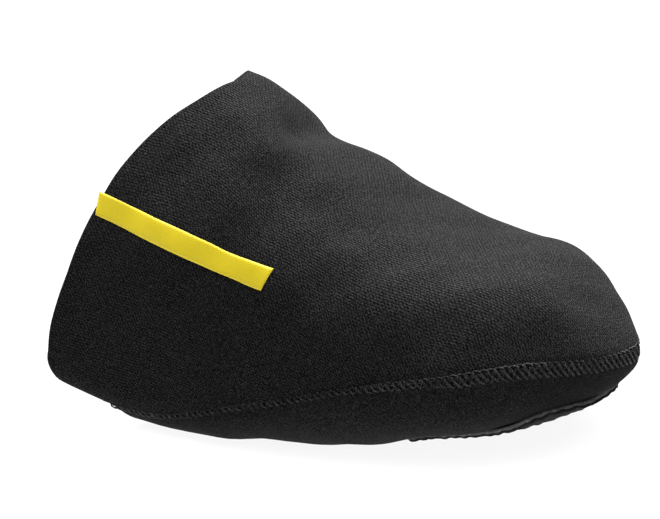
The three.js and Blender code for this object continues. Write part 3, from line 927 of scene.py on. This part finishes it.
class COVER_OT_toe_patch(PieceOperator, bpy.types.Operator):
    """Builds the rough patch under the toe, with its ragged, uneven outline."""

    bl_idname = "cover.toe_patch"
    bl_label = "Toe patch"

    def build(self, form, sizes, colours):
        rows, columns = PATCH_GRID
        i = np.linspace(0, 1, rows + 1)[:, None]
        across = 1 - 2 * np.linspace(0, 1, columns + 1)[None, :]
        inward = 1 - np.abs(across)
        rear, front = (along(PATCH_ENDS, column, inward) for column in ("rear", "front"))
        s = mix(rear, front, np.sin(i * np.pi / 2))
        edge = form.girth_at_depth(s, 1 - along(LENGTH_LINES, "lip", s))
        v = mix(edge, 1, inward) * np.where(across < 0, -1, 1)
        base, normal = form.skin(s, v), form.outward(s, v)
        to_edge = np.minimum(inward, np.minimum(i, 1 - i) * PATCH_LONG) * PATCH_HALF
        lumps = sum(np.sin(base @ np.array(lump["along"]) + lump["phase"]) for lump in PATCH_LUMPS)
        ragged = np.sin(base[..., 0] * 1.9) + 0.6 * np.sin(base[..., 0] * 0.83 + 1.0)
        rounding = quarter_round(to_edge, PATCH_ROUND)
        lip = PATCH_LIP["height"] * np.exp(-((to_edge - PATCH_LIP["at"]) / PATCH_LIP["width"]) ** 2)
        growth = ease(share(s, PATCH_THICK["from"], PATCH_THICK["to"]))
        full = mix(PATCH_THICK["rear"], PATCH_THICK["toe"], growth)
        thick = form.proud + PATCH_THICK["bed"] + sizes.patch_wall / MM * full
        rim = mix(PATCH_RIM["share"], 1, ease(share(to_edge, PATCH_RIM["from"], PATCH_RIM["to"])))
        uneven = PATCH_LUMP * lumps + PATCH_RAGGED * ragged
        outer = base + normal * (thick * rim + uneven + lip - rounding)[..., None]
        inner = base + normal * np.full(s.shape, form.proud + LOWEST)[..., None]
        sink = SEAM_GAP / 2 * ease(share(s, *TIP_BLEND))
        outer[..., 2] = np.maximum(outer[..., 2] - sink, LOWEST)
        inner[..., 2] = np.maximum(inner[..., 2] - sink, LOWEST)
        keep = np.ones((rows, columns), bool)
        piece = sheet_solid("toe_patch", outer, inner, keep, False, base[..., :2].copy(), 2)
        rubber = rubber_finish("rough_rubber", colours.patch, colours.patch_grain_and_lip_highlight)
        # Painted highlight: the patch's edge wall is painted 8 and 14 times paler than the grains, as a lit
        # raised edge.
        pale, brightest_lip_highlight = (shade(colours.patch_grain_and_lip_highlight, factor) for factor in (8.0, 14.0))
        lip_highlight_finish = rubber_finish("patch_lip_highlight", pale, brightest_lip_highlight)
        settle(piece, [rubber, rubber, lip_highlight_finish], "guard", "toe_guard")


class COVER_OT_stripe(PieceOperator, bpy.types.Operator):
    """Builds the plain film stripe on the outer side, from the cut rear edge forward."""

    bl_idname = "cover.stripe"
    bl_label = "Stripe"

    def build(self, form, sizes, colours):
        rows, columns = STRIPE_GRID
        t = np.linspace(0, 1, rows + 1)[:, None] * np.ones(columns + 1)
        girth = -along(STRIPE_LINE, "girth", t)
        half = (np.linspace(0, 1, columns + 1)[None, :] - 0.5) * sizes.stripe_width / MM
        long, wide = sizes.stripe_length, sizes.stripe_width
        s = along(GIRTH_LINES, "rear", -girth) + t * (long / MM + FILM["slant"] * half) / form.length
        v = girth + half / form.rate(s, girth)
        base, normal = form.skin(s, v), form.outward(s, v)
        relief = form.relief(base)
        to_edge = np.minimum(np.minimum(t, 1 - t) * long, (0.5 - np.abs(half * MM / wide)) * wide) / MM
        outer = base + normal * (relief + FILM["top"] - quarter_round(to_edge, FILM["round"]))[..., None]
        inner = base + normal * (relief + FILM["under"])[..., None]
        cloth = np.stack([t * long / MM, half + 0 * t], -1)
        keep = np.ones((rows, columns), bool)
        piece = sheet_solid("side_film", outer, inner, keep, False, cloth, 1)
        film = film_finish("yellow_film", colours.stripe)
        settle(piece, [film, film, film], "film", "side_stripe")


class COVER_OT_seam(PieceOperator, bpy.types.Operator):
    """Sews the overlocked seam: slanted stitches across it and loops along their upper ends."""

    bl_idname = "cover.seam"
    bl_label = "Seam"

    def build(self, form, sizes, colours):
        toe = mix(TOE_FROM, 1.0, np.sin(np.linspace(0, np.pi / 2, 300)[1:]))
        line = np.concatenate([np.linspace(0, TOE_FROM, 400), toe])
        parts = []
        for side in (-1, 1):
            seam = along(LENGTH_LINES, "seam", line)
            start = np.argmax(line >= along(GIRTH_LINES, "rear", seam) + SEAM_START)
            spots, girths = line[start:], seam[start:]
            course = form.skin(spots, side * girths)
            run = np.append(0, np.cumsum(np.linalg.norm(np.diff(course, axis=0), axis=-1)))
            parts += self.threads(form, sizes, side, spots, course, run)
        points, faces, cloth = joined(parts)
        piece = mesh_object("seam_thread", points, faces, cloth)
        settle(piece, [thread_finish("black_thread", colours.thread)], "knit")

    def threads(self, form, sizes, side, spots, course, run):
        """A thick core fills the groove. Each stitch goes down across the seam on top of the fabric and
        comes back beneath it, in two strands. A looper thread makes a small loop at each upper end:
        forward = step + loop sin, across = loop cos. A fine thread crosses the stitches the other way."""
        pitch, radius = sizes.stitch / MM, sizes.thread / MM / 2
        stitches = int(run[-1] / pitch)
        pitch = run[-1] / stitches
        phase = np.arange(stitches * STITCH_POINTS + 1) / STITCH_POINTS
        core = np.clip(phase * pitch, 0, run[-1])
        at = np.interp(core, run, spots)
        above, below = along(STITCH_LINES, "above", at), along(STITCH_LINES, "below", at)
        ahead, loop = along(STITCH_LINES, "ahead", at), along(STITCH_LINES, "loop", at)
        jitter = np.random.default_rng(SEED + side)
        knots = np.arange(stitches + 2)

        def uneven(count):
            return [np.interp(phase, knots, jitter.uniform(-1, 1, len(knots))) for _ in range(count)]

        def lay(forward, across, high, thickness):
            return self.lay(form, side, spots, course, run, forward, across, high, thickness)

        parts = [lay(core, 0 * core + CORE["across"], 0 * core + CORE["high"], CORE["radius"] * radius)]
        for strand in (-0.5, 0.5):
            slip, pull, rise = uneven(3)
            turn = 2 * np.pi * phase
            down = 0.5 - 0.5 * np.cos(turn)
            across = mix(-above * (1 + STRAND["up"] * pull), below * (1 + STRAND["down"] * slip), down)
            forward = (phase + STRAND["apart"] * strand) * pitch + ahead * (down - 0.5)
            forward = forward - 0.5 * pitch * np.sin(turn) * STRAND["bow"] + STRAND["sway"] * slip
            high = (STRAND["arch"] + STRAND["lift"] * rise) * np.sin(turn) - STRAND["deep"]
            parts.append(lay(forward, across, high, radius))
        slip, pull = uneven(2)
        turn = 2 * np.pi * phase + LOOPER["lead"]
        across = -above - loop * (LOOPER["over"] + np.cos(turn)) * (1 + LOOPER["size"] * slip)
        swing = (LOOPER["wide"] + LOOPER["grow"] * loop) * np.sin(turn)
        forward = phase * pitch + swing + LOOPER["sway"] * pull
        high = LOOPER["arch"] * np.sin(turn - LOOPER["lag"]) - LOOPER["deep"]
        thickness = radius * (LOOPER_RADIUS["least"] + LOOPER_RADIUS["grow"] * loop)
        parts.append(lay(forward, across, high, thickness))
        slip, pull = uneven(2)
        turn = 2 * np.pi * phase * CROSSER["turns"]
        down = 0.5 - 0.5 * np.cos(turn)
        reach = below * CROSSER["down"] * (1 + CROSSER["vary"] * slip)
        across = mix(-above * CROSSER["up"], reach, down)
        forward = phase * pitch - CROSSER["slant"] * ahead * (down - 0.5) + CROSSER["sway"] * pull
        high = CROSSER["arch"] * np.sin(turn + CROSSER["phase"]) - CROSSER["deep"]
        parts.append(lay(forward, across, high, radius * CROSSER_RADIUS))
        return parts

    def lay(self, form, side, spots, course, run, forward, across, high, radius):
        """Lays a thread on the panels: seam place at the forward distance, then across the seam along the
        girth, then off the surface."""
        forward = np.clip(forward, 0.3, run[-1])
        s = np.interp(forward, run, spots)
        point = np.stack([np.interp(forward, run, course[:, k]) for k in range(3)], -1)
        seam = along(LENGTH_LINES, "seam", s)
        inside = np.minimum(s, TIP_FROM)
        down = unit(form.skin(inside, side * (seam + 0.01)) - form.skin(inside, side * (seam - 0.01)))
        normal = form.outward(inside, side * seam)
        away = np.abs(across)
        sink = SEAM_SINK["depth"] * np.exp(-((away / SEAM_SINK["width"]) ** 2))
        drop = quarter_round(away, SEAM_ROUND) * 0.55
        proud = form.proud * (1 - np.exp(-np.maximum(0, across) / STEP_RISE))
        curve = across**2 * np.where(across > 0, self.bend(form, s, side), 0.5 * self.bend(form, s, side))
        path = point + down * across[:, None] + normal * (high + proud - sink - drop - curve)[:, None]
        return tube(path, normal, radius)

    def bend(self, form, s, side):
        """Half the curvature of the girth at the seam, held to a few hundredths."""
        seam = along(LENGTH_LINES, "seam", s)
        rate = np.maximum(60.0, form.rate(np.minimum(s, 0.97), seam))
        return np.minimum(0.03, 2.2 / rate)


class COVER_OT_stage(bpy.types.Operator):
    """Adds the pale floor, the soft studio light and the camera."""

    bl_idname = "cover.stage"
    bl_label = "Stage"

    AZIMUTH, ELEVATION, DISTANCE = 23.0, 18.0, 1.05
    PIXELS_PER_METRE, PICTURE = 3180.0, (660, 519)
    TARGET, TARGET_PIXEL = (-0.00026, -0.00052, 0.043), (360.0, 283.0)
    FLOOR, AIR = 4.0, 0.16  # half width of the floor in metres, strength of the light from all round
    OVERHEAD = ((-0.12, 0.6, 0.95), 75, 12.5)  # direction, spread in degrees and strength
    SWEEP = ((0.0, 0.0, 1.0), 90, 4.4)

    def execute(self, context):
        scene = context.scene
        mesh = bpy.data.meshes.new("studio_floor")
        corners = [(x * self.FLOOR, y * self.FLOOR, 0) for x, y in ((-1, -1), (1, -1), (1, 1), (-1, 1))]
        mesh.from_pydata(corners, [], [(0, 1, 2, 3)])
        floor = bpy.data.objects.new("studio_floor", mesh)
        scene.collection.objects.link(floor)
        mesh.materials.append(plain_finish("pale_floor", scene.cover_colours.floor, 0.9))
        world = bpy.data.worlds.new("studio_air")
        world.use_nodes = True
        air = world.node_tree.nodes["Background"]
        air.inputs["Color"].default_value = (1.0, 1.0, 1.0, 1.0)
        air.inputs["Strength"].default_value = self.AIR
        scene.world = world
        group = bpy.data.collections.new("floor_only")
        group.objects.link(floor)
        spared = bpy.data.collections.new("all_but_floor")
        spared.objects.link(floor)
        spared.collection_objects[0].light_linking.link_state = "EXCLUDE"
        overhead = self.light(scene, "overhead_light", *self.OVERHEAD)
        overhead.light_linking.receiver_collection = spared
        sweep = self.light(scene, "floor_light", *self.SWEEP)
        sweep.light_linking.receiver_collection = group
        sweep.light_linking.blocker_collection = group
        scene.view_settings.view_transform = "Standard"
        scene.camera = self.camera(scene)
        return {"FINISHED"}

    def light(self, scene, name, place, spread, power):
        """A wide, even light from the direction of a place."""
        data = bpy.data.lights.new(name, "SUN")
        data.angle, data.energy = math.radians(spread), power
        lamp = bpy.data.objects.new(name, data)
        turn = (-Vector(place)).to_track_quat("-Z", "Y").to_matrix().to_4x4()
        lamp.matrix_world = Matrix.Translation(place) @ turn
        scene.collection.objects.link(lamp)
        return lamp

    def camera(self, scene):
        """Camera whose axis passes beside the target, so that the target lands on its pixel."""
        a, e = math.radians(self.AZIMUTH), math.radians(self.ELEVATION)
        back = Vector((math.sin(a) * math.cos(e), -math.cos(a) * math.cos(e), math.sin(e)))
        right = Vector((math.cos(a), math.sin(a), 0.0))
        up = back.cross(right)
        width, height = self.PICTURE
        aim = Vector(self.TARGET)
        aim -= right * ((self.TARGET_PIXEL[0] - width / 2) / self.PIXELS_PER_METRE)
        aim += up * ((self.TARGET_PIXEL[1] - height / 2) / self.PIXELS_PER_METRE)
        data = bpy.data.cameras.new("photo_camera")
        data.sensor_width = 36.0
        data.lens = self.PIXELS_PER_METRE * self.DISTANCE / width * data.sensor_width
        camera = bpy.data.objects.new("photo_camera", data)
        turn = Matrix((right, up, back)).transposed().to_4x4()
        camera.matrix_world = Matrix.Translation(aim + back * self.DISTANCE) @ turn
        scene.collection.objects.link(camera)
        return camera


class COVER_PT_panel(bpy.types.Panel):
    """Lists the sizes, the colours and the pieces."""

    bl_idname = "COVER_PT_panel"
    bl_label = "Toe Cover"
    bl_space_type = "VIEW_3D"
    bl_region_type = "UI"
    bl_category = "Toe Cover"

    def draw(self, context):
        layout = self.layout
        for group in (context.scene.cover_sizes, context.scene.cover_colours):
            box = layout.box()
            for name in group.bl_rna.properties.keys():
                if name not in {"rna_type", "name"}:
                    box.prop(group, name)
        for operator in OPERATORS:
            layout.operator(operator.bl_idname)


OPERATORS = (
    COVER_OT_upper,
    COVER_OT_sole_panel,
    COVER_OT_toe_patch,
    COVER_OT_stripe,
    COVER_OT_seam,
    COVER_OT_stage,
)
CLASSES = (CoverSizes, CoverColours, *OPERATORS, COVER_PT_panel)


def register():
    for item in CLASSES:
        bpy.utils.register_class(item)
    bpy.types.Scene.cover_sizes = PointerProperty(type=CoverSizes)
    bpy.types.Scene.cover_colours = PointerProperty(type=CoverColours)


def unregister():
    del bpy.types.Scene.cover_colours
    del bpy.types.Scene.cover_sizes
    for item in reversed(CLASSES):
        bpy.utils.unregister_class(item)


def main():
    register()
    bpy.ops.cover.upper()
    bpy.ops.cover.sole_panel()
    bpy.ops.cover.toe_patch()
    bpy.ops.cover.stripe()
    bpy.ops.cover.seam()
    bpy.ops.cover.stage()


if __name__ == "__main__":
    main()
